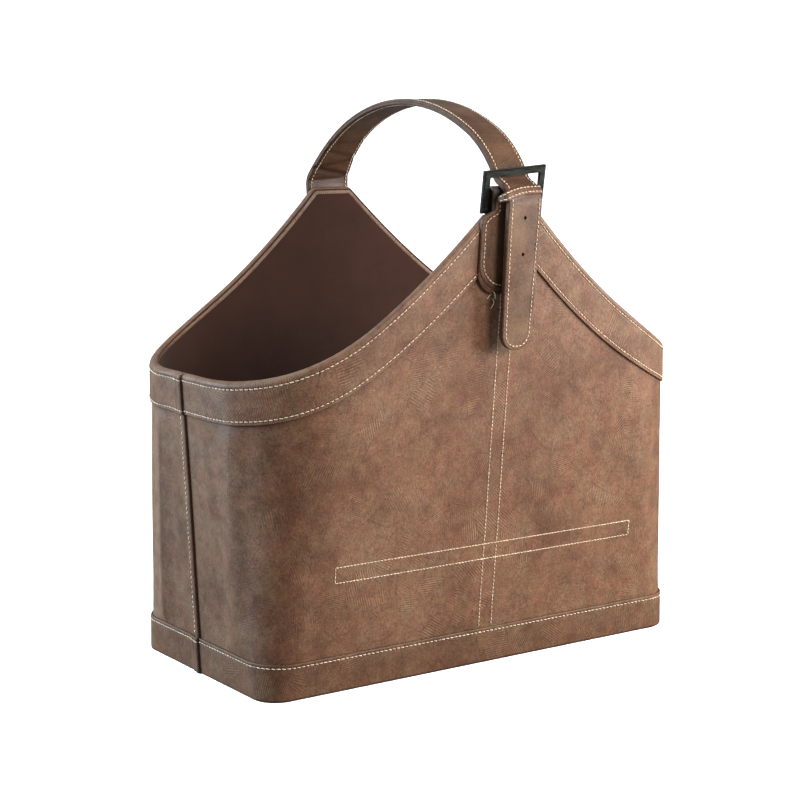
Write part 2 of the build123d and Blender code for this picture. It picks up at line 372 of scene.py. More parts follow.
def along_line(places, run, points):
    """Points or directions of a line at set distances along it."""
    return np.stack([np.interp(places, run, column) for column in points.T], axis=-1)


def lay_flat(obj, across, along):
    """Stores where each point lies on its leather laid flat, for the etched lines."""
    across, along = np.broadcast_arrays(across, along)
    flat = np.stack([across, along, np.zeros(across.shape)], axis=-1) * MM
    attribute = obj.data.attributes.new("flat", "FLOAT_VECTOR", "POINT")
    attribute.data.foreach_set("vector", flat.astype(np.float32).ravel())


def grid(name, points, material, closed=False, flip=False, caps=False):
    rows, columns = points.shape[:2]
    faces = grid_faces(rows, columns, closed)
    if caps:
        faces.append(tuple(range(columns))[::-1])
        faces.append(tuple(range((rows - 1) * columns, rows * columns)))
    if flip:
        faces = [face[::-1] for face in faces]
    obj = new_object(name, points.reshape(-1, 3), faces, material)
    lay_flat(obj, lengths(points[rows // 2])[None, :], lengths(points[:, columns // 2])[:, None])
    return obj


# Materials

class Shader:
    """A material's node tree with short ways to add to it."""

    def __init__(self, name):
        self.material = bpy.data.materials.new(name)
        self.material.use_nodes = True
        self.tree = self.material.node_tree
        self.surface = self.tree.nodes["Principled BSDF"]
        self.place = self.add("ShaderNodeTexCoord").outputs["Object"]

    def add(self, kind, sockets=None, **settings):
        node = self.tree.nodes.new(kind)
        for key, value in settings.items():
            setattr(node, key, value)
        for key, value in (sockets or {}).items():
            self.put(node.inputs[key], value)
        return node

    def put(self, socket, value):
        if isinstance(value, bpy.types.NodeSocket):
            self.tree.links.new(value, socket)
        else:
            socket.default_value = value

    def set(self, **sockets):
        for key, value in sockets.items():
            self.put(self.surface.inputs[key.replace("_", " ")], value)

    def math(self, operation, a, b=0.0):
        node = self.add("ShaderNodeMath", operation=operation)
        self.put(node.inputs[0], a)
        self.put(node.inputs[1], b)
        return node.outputs[0]

    def vector(self, operation, a, b):
        node = self.add("ShaderNodeVectorMath", operation=operation)
        self.put(node.inputs[0], a)
        if operation == "SCALE":
            self.put(node.inputs["Scale"], b)
        else:
            self.put(node.inputs[1], b)
        return node.outputs["Value" if operation == "DOT_PRODUCT" else "Vector"]

    def noise(self, scale, detail=4.0, roughness=0.55, at=None, part="Fac"):
        sockets = {"Vector": at or self.place, "Scale": scale}
        sockets |= {"Detail": detail, "Roughness": roughness}
        return self.add("ShaderNodeTexNoise", sockets).outputs[part]

    def ramp(self, value, *stops):
        node = self.add("ShaderNodeValToRGB", {"Fac": value})
        elements = node.color_ramp.elements
        while len(elements) < len(stops):
            elements.new(0.5)
        for element, (position, colour) in zip(elements, stops):
            element.position = position
            element.color = (*colour, 1)
        return node.outputs["Color"]

    def span(self, value, low, high, to_low=0.0, to_high=1.0):
        sockets = {"Value": value, "From Min": low, "From Max": high}
        sockets |= {"To Min": to_low, "To Max": to_high}
        return self.add("ShaderNodeMapRange", sockets).outputs["Result"]

    def mix(self, share, a, b, blend="MIX"):
        node = self.add("ShaderNodeMix", data_type="RGBA", blend_type=blend)
        self.put(node.inputs[0], share)
        for socket, value in ((node.inputs[6], a), (node.inputs[7], b)):
            self.put(socket, value if isinstance(value, bpy.types.NodeSocket) else (*value, 1))
        return node.outputs[2]

    def times(self, colour, by):
        return self.mix(1.0, colour, by, "MULTIPLY")

    def bump(self, height, strength, distance, under=None):
        sockets = {"Height": height, "Strength": strength, "Distance": distance}
        node = self.add("ShaderNodeBump", sockets)
        if under is not None:
            self.put(node.inputs["Normal"], under)
        return node.outputs["Normal"]


def tinted(colour, *by):
    return tuple(c * k for c, k in zip(colour, by))


def etched_patches(s, flat, etched):
    """Patches of fine parallel lines, each patch in its own direction."""
    drift = s.vector("SCALE", s.noise(28.0, 2.0, 0.5, at=flat, part="Color"), 0.011)
    bent = s.vector("ADD", flat, drift)
    sockets = {"Vector": bent, "Scale": 37.0}
    cells = s.add("ShaderNodeTexVoronoi", sockets, voronoi_dimensions="2D")
    draw = s.add("ShaderNodeSeparateColor", {"Color": cells.outputs["Color"]}).outputs
    turn = s.math("MULTIPLY", draw["Green"], 6.283)
    aim = s.add("ShaderNodeCombineXYZ", {"X": s.math("COSINE", turn), "Y": s.math("SINE", turn)})
    along = s.vector("DOT_PRODUCT", flat, aim.outputs["Vector"])
    waver = s.math("MULTIPLY", s.noise(220.0, 2.0, at=flat), 2.2)
    lines = s.math("SINE", s.math("ADD", s.math("MULTIPLY", along, 3500.0), waver))
    strength = s.span(draw["Red"], 0.2, 0.7, 0.0, etched)
    fade = s.span(s.noise(60.0, 3.0, at=flat), 0.38, 0.6)
    strength = s.math("MULTIPLY", strength, fade)
    edges = {"voronoi_dimensions": "2D", "feature": "DISTANCE_TO_EDGE"}
    rims = s.add("ShaderNodeTexVoronoi", sockets, **edges)
    rim = s.span(rims.outputs["Distance"], 0.0, 0.035, 0.5 * etched, 0.0)
    rim = s.math("MULTIPLY", rim, s.span(s.noise(42.0, 3.0, at=flat), 0.46, 0.62))
    return lines, strength, rim


def grey(s, value):
    node = s.add("ShaderNodeCombineColor", {"Red": value, "Green": value, "Blue": value})
    return node.outputs["Color"]


def leather(name, tone, etched=1.0, edge=1.0):
    """Mottled brown leather: clouds, fibres, etched patches, veins, worn edges, painted highlights and
    painted shade.
    """
    s = Shader(name)
    flat = s.add("ShaderNodeAttribute", attribute_name="flat").outputs["Vector"]
    dark = tinted(tone, 0.72, 0.63, 0.58)
    light = tinted(tone, 1.24, 1.36, 1.44)
    broad = s.noise(17.0, 4.0, 0.6)
    small = s.noise(85.0, 5.0, 0.68, at=s.vector("ADD", s.place, (2.0, 4.0, 1.0)))
    cloud = s.math("ADD", s.math("MULTIPLY", broad, 0.5), s.math("MULTIPLY", small, 0.5))
    colour = s.ramp(cloud, (0.40, dark), (0.5, tone), (0.61, light))
    hue = s.noise(48.0, 4.0, 0.6, at=s.vector("ADD", s.place, (3.1, 1.7, 5.3)))
    red = s.times(colour, (1.05, 0.96, 0.90))
    olive = s.times(colour, (0.96, 1.01, 0.95))
    colour = s.mix(s.span(hue, 0.42, 0.6), olive, red)

    lines, strength, rim = etched_patches(s, flat, etched)
    pale = s.times(colour, (1.10, 1.20, 1.24))
    colour = s.mix(s.math("MULTIPLY", strength, 0.55), colour, pale)
    ripple = s.math("MULTIPLY", s.math("MULTIPLY", lines, strength), 0.42)
    colour = s.times(colour, grey(s, s.math("ADD", ripple, 1.0)))

    wander = s.noise(90.0, 5.0, 0.6, at=s.vector("ADD", s.place, (1.0, 6.0, 2.0)))
    vein = s.span(s.math("ABSOLUTE", s.math("SUBTRACT", wander, 0.5)), 0.0, 0.014, 0.7, 0.0)
    vein = s.math("MULTIPLY", vein, s.span(s.noise(45.0, 2.0), 0.40, 0.54))
    vein = s.math("MAXIMUM", vein, rim)
    colour = s.mix(vein, colour, tinted(dark, 0.42, 0.36, 0.34))
    fibre = s.noise(620.0, 3.0, 0.7, at=s.vector("MULTIPLY", s.place, (1.0, 1.0, 0.8)))
    colour = s.times(colour, grey(s, s.span(fibre, 0.3, 0.7, 0.68, 1.32)))
    speck = s.noise(1250.0, 3.0, 0.75)
    colour = s.times(colour, grey(s, s.span(speck, 0.3, 0.7, 0.68, 1.32)))

    # Lighter where the mesh stores wear and painted highlight.
    wear_and_highlight = s.add("ShaderNodeAttribute", attribute_name="wear_and_highlight").outputs["Fac"]
    rubbed_and_lit = s.math("MULTIPLY", wear_and_highlight, s.span(s.noise(160.0, 4.0), 0.35, 0.65, 0.15, edge))
    colour = s.mix(rubbed_and_lit, colour, tinted(tone, 1.5, 1.75, 1.9))
    # Darker where the mesh stores painted shade and darker blotches.
    shade = s.add("ShaderNodeAttribute", attribute_name="shade").outputs["Fac"]
    colour = s.mix(shade, colour, tinted(dark, 0.36, 0.25, 0.19))

    normal = s.bump(s.noise(38.0, 3.0), 0.25, 0.0012)
    normal = s.bump(s.math("MULTIPLY", lines, strength), 0.3, 0.00012, normal)
    normal = s.bump(fibre, 0.3, 0.0003, normal)
    normal = s.bump(vein, 0.4, -0.0003, normal)
    rough = s.span(s.noise(60.0, 4.0), 0.3, 0.7, 0.48, 0.66)
    s.set(Base_Color=colour, Roughness=rough, Normal=normal, Specular_IOR_Level=0.34)
    return s.material


def edge_paint():
    """Dark paint along the cut edges of the strap."""
    s = Shader("edge_paint")
    tone = s.ramp(s.noise(220.0, 4.0), (0.35, (0.055, 0.024, 0.012)), (0.7, (0.115, 0.052, 0.027)))
    s.set(Base_Color=tone, Roughness=0.75, Normal=s.bump(s.noise(700.0), 0.3, 0.0002))
    return s.material


def lining_cloth():
    s = Shader("lining_cloth")
    tone = s.ramp(
        s.noise(16.0, 6.0, 0.6),
        (0.3, (0.0225, 0.0086, 0.0054)),
        (0.7, (0.0375, 0.0147, 0.0093)),
    )
    fibre = s.noise(1500.0, 3.0, 0.7)
    speck = s.span(fibre, 0.3, 0.7, 0.8, 1.25)
    tone = s.times(tone, grey(s, speck))
    s.set(Base_Color=tone, Roughness=0.95, Normal=s.bump(fibre, 0.4, 0.0002))
    s.set(Sheen_Weight=0.15, Specular_IOR_Level=0.15)
    return s.material


def thread():
    s = Shader("thread")
    tone = s.ramp(s.noise(300.0, 3.0), (0.35, (0.50, 0.38, 0.265)), (0.65, (0.80, 0.67, 0.51)))
    s.set(Base_Color=tone, Roughness=0.8, Normal=s.bump(s.noise(2500.0), 0.4, 0.0001))
    return s.material


def gunmetal():
    s = Shader("gunmetal")
    tone = s.ramp(s.noise(90.0, 5.0), (0.3, (0.026, 0.027, 0.024)), (0.7, (0.066, 0.067, 0.060)))
    scratch = s.noise(260.0, 4.0, at=s.vector("MULTIPLY", s.place, (0.4, 3.0, 3.0)))
    rough = s.span(scratch, 0.3, 0.7, 0.22, 0.42)
    s.set(Base_Color=tone, Metallic=1.0, Roughness=rough, Normal=s.bump(scratch, 0.08, 0.0002))
    return s.material


def plain_board():
    s = Shader("plain_board")
    tone = s.ramp(s.noise(200.0, 5.0), (0.3, (0.36, 0.3, 0.23)), (0.7, (0.48, 0.41, 0.32)))
    s.set(Base_Color=tone, Roughness=0.9, Normal=s.bump(s.noise(900.0), 0.2, 0.0002))
    return s.material


def pale_floor():
    s = Shader("pale_floor")
    tone = s.ramp(s.noise(3.0, 3.0), (0.3, (0.90, 0.90, 0.90)), (0.7, (0.93, 0.93, 0.93)))
    s.set(Base_Color=tone, Roughness=0.7, Emission_Color=(1.0, 1.0, 1.0, 1.0), Emission_Strength=1.0)
    return s.material


# Wall pieces

def set_share(obj, name, values):
    """Stores a share for each point, which the leather's shader reads."""
    attribute = obj.data.attributes.new(name, "FLOAT", "POINT")
    attribute.data.foreach_set("value", np.asarray(values, np.float32).ravel())


def groove(distance, depth=0.22, half=1.3):
    """Hollow that a row of stitches pulls into the leather."""
    return -depth * bell(distance, half)


def row_shade(distance):
    """Painted shade in the hollow along a row of stitches."""
    return 0.4 * bell(distance, 0.7)


def band_profile():
    """Top band from inside the rim, over it and down to its foot: drop, out."""
    crest = WALL / 2 + 0.1
    rows = [(5.2, -WALL - 0.02), (4.2, -WALL - 0.3)]
    for angle in np.radians(np.arange(180, -1, -15)):
        rows.append((crest - crest * math.sin(angle), -WALL / 2 + crest * math.cos(angle)))
    foot_row = TOP_BAND - FOOT_ROW
    near_rim = np.arange(RIM_ROW - 1.1, RIM_ROW + 2.3, 0.55)
    near_foot = np.arange(foot_row - 2.2, foot_row + 1.2, 0.55)
    for drop in (*near_rim, 9, 12, 15, 18, 21, *near_foot):
        sunk = groove(drop - RIM_ROW) + groove(drop - foot_row)
        rows.append((drop, 0.1 + sunk))
    return rows + [(TOP_BAND - rise, out) for rise, out in FOLDED_EDGE]


def top_band(name, rear, material):
    """One half of the band folded over the rim."""
    turns = half_turns(rear, TOP_UNDERLAP)
    rows = []
    for drop, out in band_profile():
        lift = band_lift(turns, np.full_like(turns, END_HEIGHT), rear)
        if rear:
            lift[[0, -1]] = LAP_TUCK
        if out < -1.2:
            lift = lift * 0.2
        rows.append(under_rim(turns, drop, out + lift, rear))
    rows = np.array(rows)
    obj = grid(name, rows, material, flip=rear)
    drops = np.array([drop for drop, _ in band_profile()])[:, None]
    # Lighter at the foot's edge from wear, and on the rim's crest from wear with painted highlight.
    wear_and_highlight = bell(drops, 2.2) + bell(TOP_BAND - drops, 0.9)
    seam = seam_wear_and_highlight(turns, rows[..., 2]) if rear else 0.0
    set_share(obj, "wear_and_highlight", np.broadcast_to(0.6 * wear_and_highlight, rows.shape[:2]) + seam)
    # Painted shade in the hollows along the rows; the foot's cut edge is dark.
    shade = row_shade(drops - RIM_ROW) + row_shade(drops - TOP_BAND + FOOT_ROW)
    shade = shade + 0.7 * (drops > TOP_BAND - 0.3)
    set_share(obj, "shade", np.maximum(shade, seam_shade(turns, rows[..., 2], rear)))
    node = "rear_top_band" if rear else "front_top_band"
    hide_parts(node)
    return finish_mesh(obj, "basket")


def base_profile():
    """Base band from the floor edge up to its folded top: height, out."""
    rows = [(BAND_LIFT, -BAND - 0.1), (BAND_LIFT, -0.9), (BAND_LIFT + 0.25, -0.3)]
    rows += [(1.5, 0.0), (2.4, 0.05)]
    row = BASE_BAND - FOOT_ROW
    for z in (4, 8, 12, 16, 20, *np.arange(row - 2.2, row + 1.2, 0.55)):
        rows.append((z, 0.1 + groove(z - row)))
    return rows + [(BASE_BAND - drop, out) for drop, out in FOLDED_EDGE]


def base_band(name, rear, material):
    """One half of the band round the foot."""
    turns = half_turns(rear, UNDERLAP)
    rows = []
    for z, out in base_profile():
        lift = wrap_lift(turns, z, rear)
        rows.append(wall(turns, np.full_like(turns, z), out + lift, rear))
    rows = np.array(rows)
    obj = grid(name, rows, material, flip=not rear)
    heights = np.array([z for z, _ in base_profile()])[:, None]
    wear_and_highlight = bell(BASE_BAND - heights, 0.9)
    set_share(obj, "wear_and_highlight", np.broadcast_to(0.6 * wear_and_highlight, rows.shape[:2]))
    # Painted shade in the row's hollow; the top and bottom cut edges are dark.
    shade = row_shade(heights - BASE_BAND + FOOT_ROW) + 0.7 * (heights > BASE_BAND - 0.3)
    shade = shade + 0.85 * (heights < 1.6)
    set_share(obj, "shade", np.maximum(shade, seam_shade(turns, rows[..., 2], rear)))
    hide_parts("rear_base_band" if rear else "front_base_band")
    return finish_mesh(obj, "basket")


def unevenness(point):
    """Slow swell of soft leather over board, in millimetres."""
    low = noise.noise(Vector(point) * 0.011)
    fine = noise.noise(Vector(point) * 0.035 + Vector((9, 4, 2)))
    return 0.55 * low + 0.2 * fine


def calm(z, top):
    """Share of the swell: none at the bands, all of it between them."""
    return unit((z - BASE_BAND) / 25) * unit((top - z) / 30)


def end_blotches(points):
    """Random darker and lighter blotches on the end walls: darker above nought, lighter below."""
    blotch = np.zeros(points.shape[:2])
    for index in np.ndindex(blotch.shape):
        x, y, z = points[index]
        end = unit((abs(x) - half_width(z) + 0.7 * corner(z)) / (0.4 * corner(z)))
        streak = noise.noise(Vector((0.05 * x, 0.05 * y, 0.014 * z)))
        spot = noise.noise(Vector((x, y, z)) * 0.11)
        speck = noise.noise(Vector((x, y, z)) * 0.24)
        blotch[index] = end * (0.35 * streak + 0.35 * spot + 0.3 * speck)
    return blotch


def cover(name, rear, material):
    """One leather wrap from the sole up to behind the top band."""
    turns = half_turns(rear, UNDERLAP)
    top = under_rim(turns, TOP_BAND - 6, -BAND, rear)[..., 2]
    rows = []
    for share in np.linspace(0, 1, 90):
        z = SOLE + (top - SOLE) * share
        flat = wall(turns, z, -BAND, rear)
        swell = np.array([unevenness(p) for p in flat])
        clear = unit((z - BASE_BAND) / 8) * np.clip((top - z) / 16, 0.35, 1)
        lift = wrap_lift(turns, z, rear) + crease_lift(turns, z, rear) * clear
        rows.append(wall(turns, z, -BAND + lift + swell * calm(z, top), rear))
    rows = np.array(rows)
    obj = grid(name, rows, material, flip=not rear)
    heights = rows[..., 2]
    # Painted shadow on the cover under the top band's foot, and painted shade beside the lap.
    band_foot_shadow = bell(under_rim(turns, TOP_BAND, -BAND, rear)[..., 2] - heights, 3.0)
    blotch = end_blotches(rows)
    shade = np.maximum(0.45 * band_foot_shadow, seam_shade(turns, heights, rear))
    shade = np.maximum(shade, 0.75 * unit(blotch))
    wear_and_highlight = 0.6 * unit(-blotch)
    if rear:
        wear_and_highlight = np.maximum(wear_and_highlight, 0.5 * seam_wear_and_highlight(turns, heights))
        past = past_crease(turns, heights, rear)
        # Painted highlight on the facet behind the rear crease.
        wear_and_highlight = np.maximum(wear_and_highlight, facet_highlight(past))
        # Painted shade along the rear crease.
        shade = np.maximum(shade, 0.4 * bell(past + 1.5, 1.5))
    set_share(obj, "shade", shade)
    set_share(obj, "wear_and_highlight", wear_and_highlight)
    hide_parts("rear_cover" if rear else "front_cover")
    return finish_mesh(obj, "basket")


# Strap

def strap_line():
    """Points, headings, runs, bend marks and last centre of the strap's face, in side view."""
    up = np.array([LEAN, 1]) / SLANT
    out = np.array([1, -LEAN]) / SLANT
    place = np.array([REACH, PEAK_HEIGHT]) + up * (REAR_LEG_RISE - REAR_LEG) + out * STRAP
    points = []
    headings = []

    def straight(start, heading, length):
        count = max(int(length / STRAP_STEP), 2)
        for share in np.linspace(0, 1, count, endpoint=False):
            points.append(start + heading * length * share)
            headings.append(heading)
        return start + heading * length

    place = straight(place, up, REAR_LEG)
    angle = math.atan2(up[1], up[0])
    turned = sum(turn for _, turn in STRAP_BENDS)
    last = 180 + 2 * math.degrees(math.atan(LEAN)) - turned
    marks = []
    for share, turn in (*STRAP_BENDS, (LAST_BEND, last)):
        marks.append(len(points))
        sign = math.copysign(1, turn)
        radius = share * REACH
        centre = place + sign * radius * np.array([-math.sin(angle), math.cos(angle)])
        sweep = math.radians(turn)
        count = max(int(radius * abs(sweep) / STRAP_STEP), 6)
        for part in np.linspace(0, 1, count, endpoint=False):
            a = angle + sweep * part
            points.append(centre - sign * radius * np.array([-math.sin(a), math.cos(a)]))
            headings.append(np.array([math.cos(a), math.sin(a)]))
        angle += sweep
        place = centre - sign * radius * np.array([-math.sin(angle), math.cos(angle)])
    marks.append(len(points))
    heading = np.array([math.cos(angle), math.sin(angle)])
    tip = straight(place, heading, TAIL_DROP + TAIL_LENGTH)
    points.append(tip)
    headings.append(heading)
    points = np.array(points)
    return points, np.array(headings), lengths(points), marks, centre


STRAP_FOLDS = ((7, 0.6, 0.10), (15, 1.0, -0.22), (24, 0.8, 0.30), (35, 0.6, -0.25), (50, 0.4, 0.15))
LINE, HEADINGS, RUN, MARKS, BEND_CENTRE = strap_line()
TOTAL_RUN = RUN[-1]
KEEPER_RUN = RUN[MARKS[-1]] - math.radians(SPLIT_ANGLE) * LAST_BEND * REACH
HINGE_RUN = RUN[MARKS[-1]] + TAIL_DROP


def at_run(run):
    """Side-view point and heading of the strap at a run along it."""
    run = np.asarray(run, float)
    return along_line(run, RUN, LINE), normed(along_line(run, RUN, HEADINGS))


def half_at(run):
    """Half width of the strap: wide at the rear, tapering and rounded at the tip."""
    run = np.asarray(run, float)
    point, _ = at_run(run)
    rise = unit((point[..., 0] / REACH - 0.33) / 0.71)
    half = STRAP_HALF + (STRAP_REAR_HALF - STRAP_HALF) * rise**4.5
    taper = unit((run - HINGE_RUN) / TAIL_LENGTH)
    half = half - (STRAP_HALF - TAIL_TIP_HALF) * taper
    for distance, radius in ((run, REAR_LEG_FILLET), (TOTAL_RUN - run, TAIL_TIP_FILLET)):
        short = radius - np.clip(distance, 0, radius)
        half = half - radius + np.sqrt(np.clip(radius**2 - short**2, 0, None))
    return half


def on_strap(run, across, depth):
    """World points of the strap from run, offset across and depth under its face."""
    point, heading = at_run(run)
    inward = np.stack([-heading[..., 1], heading[..., 0]], axis=-1)
    flat = point + inward * np.asarray(depth, float)[..., None]
    across = np.broadcast_to(across, flat.shape[:-1])
    return np.stack([across, flat[..., 0], flat[..., 1]], axis=-1)


def strap_section(half):
    """Section of the strap: faces, rounded rims and the line between the plies."""
    soft = 1.0
    top = []
    for x in np.linspace(-1, 1, FACE_SAMPLES):
        across = x * (half - soft)
        from_row = half - EDGE_ROW - abs(across)
        crown = 0.25 * (1 - x * x)
        top.append((across, -crown - groove(from_row, 0.16, 1.0)))
    ply = [(half - 0.3, 0.3), (half, 1.0), (half, 1.8)]
    side = ply + [(half - 0.3, STRAP / 2)] + [(x, STRAP - depth) for x, depth in ply[::-1]]
    under = [(across, STRAP - depth * 0.6) for across, depth in top[::-1]]
    return top + side + under + [(-x, d) for x, d in side[::-1]]


def strap_patches(run, across):
    """Uneven dye along the strap: rubbed above nought, darker below."""
    return np.array([noise.noise(Vector((0.05 * run, 0.06 * a, 7.0))) for a in across])


def strap_piece(name, start, stop, leather_material, paint):
    """Sweeps the section along the strap between two runs."""
    count = max(int((stop - start) / 1.4), 12)
    runs = np.linspace(start, stop, count)
    if stop >= TOTAL_RUN - 0.01:
        tip = TAIL_TIP_FILLET * (1 - np.cos(np.linspace(0, np.pi / 2, 14)))
        runs = np.concatenate([runs[runs < TOTAL_RUN - TAIL_TIP_FILLET], (TOTAL_RUN - tip)[::-1]])
    if start <= 0.01:
        foot = REAR_LEG_FILLET * (1 - np.cos(np.linspace(0, np.pi / 2, 12)))
        runs = np.concatenate([foot, runs[runs > REAR_LEG_FILLET]])
    rows = []
    shades = []
    rubs = []
    wide = half_at(runs)
    for run, half in zip(runs, wide):
        section = np.array(strap_section(half))
        across, depth = section.T
        patches = strap_patches(run, across)
        shades.append(np.maximum(strap_shade(run, across, depth), np.clip(-0.6 * patches, 0, 0.3)))
        rubs.append(np.clip(1.2 * patches, 0, 0.5))
        depth = depth + wrinkle(run, across, depth)
        ends = min(run if start <= 0.01 else 9, TOTAL_RUN - run, STRAP_END_ROUND)
        short = STRAP_END_ROUND - ends
        squeeze = 1 - math.sqrt(max(0, STRAP_END_ROUND**2 - short**2)) / STRAP_END_ROUND
        depth = depth + (STRAP / 2 - depth) * 0.35 * squeeze
        rows.append(on_strap(np.full(len(across), run), across, depth))
    obj = grid(name, np.array(rows), leather_material, closed=True, flip=True, caps=True)
    obj.data.materials.append(paint)
    set_share(obj, "shade", np.array(shades))
    set_share(obj, "wear_and_highlight", np.array(rubs))
    columns = len(rows[0])
    face_of = np.zeros(columns, int)
    face_of[FACE_SAMPLES:columns // 2] = 1
    face_of[columns // 2 + FACE_SAMPLES:] = 1
    for index, polygon in enumerate(obj.data.polygons):
        column = index % columns
        polygon.material_index = int(face_of[column]) if index < (len(rows) - 1) * columns else 1
    return obj


def folds(run, across):
    """Creases across the strap where it leaves the rear peak."""
    reach = run - REAR_LEG
    fold = 0.0
    for place, size, slope in STRAP_FOLDS:
        fold = fold + size * bell(reach - place - slope * across, 2.2)
    return fold


def wrinkle(run, across, depth):
    """Dents that the creases make on the inside of the strap."""
    inside = unit((depth - 2.5) / 1.5)
    return -inside * folds(run, across)


def strap_shade(run, across, depth):
    """Darker inside face and outer arch of the strap, with painted shade in the creases, at the rear
    peak and under the keeper.
    """
    inside = unit((depth - 2.5) / 1.5)
    # Painted shade where the strap leaves the rear peak and in the creases on its inside.
    at_peak = bell(run - REAR_LEG - 6, 12)
    shade = inside * (0.35 + 0.35 * at_peak + 0.5 * folds(run, across))
    # The outer face is darker along the arch, more so towards the ring.
    arch = unit((run - REAR_LEG) / 20) * (run < KEEPER_RUN)
    shade = shade + (1 - inside) * arch * (0.26 + 0.2 * unit((run - KEEPER_RUN + 45) / 20))
    # Painted shadow of the keeper on the strap just below it.
    foot = RUN[MARKS[-1]] - keeper_angle(0.5, across) * LAST_BEND * REACH
    near_keeper = bell(run - foot - 1.0, 1.6)
    return np.clip(shade + 0.75 * near_keeper, 0, 0.9)


def punch_holes(obj):
    """Cuts the tail's two round holes."""
    outward = Vector((0, -1, -LEAN)).normalized()
    for drop in HOLE_DROPS:
        place = Vector((0, -REACH, PEAK_HEIGHT)) + Vector((0, LEAN, -1)).normalized() * drop
        place = place + outward * HOLE_OUT
        bpy.ops.mesh.primitive_cylinder_add(radius=HOLE_RADIUS * MM, depth=HOLE_CUT * MM, vertices=24)
        cutter = bpy.context.object
        cutter.rotation_mode = "QUATERNION"
        cutter.rotation_quaternion = outward.to_track_quat("Z", "Y")
        cutter.location = place * MM
        modifier = obj.modifiers.new("hole", "BOOLEAN")
        modifier.object = cutter
        modifier.operation = "DIFFERENCE"
        bpy.context.view_layer.objects.active = obj
        bpy.ops.object.modifier_apply(modifier="hole")
        bpy.data.objects.remove(cutter)


def bend_with_tail(obj):
    """Bakes a piece of the hanging strap's placement into its mesh."""
    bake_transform(obj)


# Buckle leather

def rounded(corners):
    """Outline through corners given as (x, y, radius), each turned by an arc."""
    points = []
    count = len(corners)
    for k, (x, y, radius) in enumerate(corners):
        here = np.array([x, y], float)
        before = normed(np.array(corners[k - 1][:2], float) - here)
        after = normed(np.array(corners[(k + 1) % count][:2], float) - here)
        half = math.acos(np.clip(before @ after, -1, 1)) / 2
        reach = radius / math.tan(half)
        centre = here + normed(before + after) * radius / math.sin(half)
        first = here + before * reach - centre
        last = here + after * reach - centre
        for share in np.linspace(0, 1, 9):
            spoke = first * (1 - share) + last * share
            points.append(centre + normed(spoke) * radius)
    return np.array(points)


def shield(inset, skirt=0.0):
    """Front-view outline of the tab and its neck, set in from the edge; a skirt lowers the foot."""
    half = TAB_HALF - inset
    neck = NECK_HALF - inset
    foot = inset - TAB_DROP - skirt
    fall = inset * (math.hypot(1, TAB_SHOULDER_SLOPE) - TAB_SHOULDER_SLOPE)
    shoulder = -TAB_SHOULDER - fall
    neck_foot = shoulder + TAB_SHOULDER_SLOPE * (half - neck)
    right = [
        (half, foot, TAB_FOOT_FILLET - inset * 0.6 - skirt),
        (half, shoulder, TAB_SHOULDER_FILLET),
        (neck, neck_foot, 3.0 + inset * 0.5),
        (neck, NECK_TOP, 0.4),
    ]
    left = [(-x, up, radius) for x, up, radius in right[::-1]]
    outline = rounded(right + left)
    outline[:, 0] += TAB_SHIFT
    return outline


def on_front(x, up, out):
    """World points from places on the front face, measured from its peak."""
    x, up, out = np.broadcast_arrays(np.asarray(x, float), up, out)
    y = -REACH - (LEAN * up + out) / SLANT
    z = PEAK_HEIGHT + (up - LEAN * out) / SLANT
    return np.stack([x, y, z], axis=-1)


def tab_lift(up):
    """How far the neck stands off the front on its way to the keeper."""
    return NECK_LIFT * unit((up + TAB_SHOULDER) / (NECK_TOP + TAB_SHOULDER))


def tab(material):
    """Shield and neck with rolled edges, sunk along the row of stitches."""
    top = LOOP + TAB
    rings = [(0.0, 0.05), (0.0, LOOP + 0.1)]
    rings += [(0.0, top - 0.9), (0.15, top - 0.4), (0.5, top - 0.1), (1.0, top)]
    for inset in (1.8, 2.6, TAB_ROW, 4.2, 5.0, 7.0):
        rings.append((inset, top + 0.05 + groove(inset - TAB_ROW, 0.25, 1.0)))
    rows = []
    outlines = [shield(inset, TAB_SKIRT * (out < LOOP + 0.2)) for inset, out in rings]
    for outline, (_, out) in zip(outlines, rings):
        lift = tab_lift(outline[:, 1])
        rows.append(on_front(outline[:, 0], outline[:, 1], out + lift))
    rows = np.array(rows)
    columns = rows.shape[1]
    faces = grid_faces(len(rows), columns, closed=True)
    half = columns // 2
    last = (len(rows) - 1) * columns
    for k in range(half - 1):
        faces.append((last + k, last + k + 1, last + columns - 2 - k, last + columns - 1 - k))
    obj = new_object("tab_shield", rows.reshape(-1, 3), faces, material)
    # Painted shade on the tab's lowest rings, round the skirt where it meets the front.
    shade = [0.4 if out < 1.5 else 0.0 for _, out in rings]
    set_share(obj, "shade", np.repeat(shade, columns))
    outlines = np.array(outlines)
    lay_flat(obj, outlines[..., 0], outlines[..., 1])
    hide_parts("buckle_tab")
    return finish_mesh(obj, "basket")


def keeper_angle(along, x):
    """Place on the strap's last bend; the keeper's left end hangs a little lower."""
    share = np.clip((DROOP_START - x) / (STRAP_HALF + DROOP_START), 0, 1.15)
    return np.radians(KEEPER_START - KEEPER_DROOP * share**2 + KEEPER_SWEEP * (0.5 - along))


def keeper_loop():
    """Section of the keeper round the strap, slack at the left, with its outward directions."""
    deep = (STRAP + KEEPER_GAP + KEEPER_BACK_GAP + KEEPER) / 2
    right = STRAP_HALF + KEEPER_GAP + KEEPER / 2
    left = -right - KEEPER_SLACK
    loop = rounded([(left, -deep, 1.6), (right, -deep, 1.6), (right, deep, 1.6), (left, deep, 3.2)])
    closed = np.vstack([loop, loop[:1]])
    run = lengths(closed)
    loop = along_line(np.linspace(0, run[-1], 120, endpoint=False), run, closed)
    ahead = normed(np.roll(loop, -1, axis=0) - np.roll(loop, 1, axis=0))
    return loop, np.stack([ahead[:, 1], -ahead[:, 0]], axis=1)


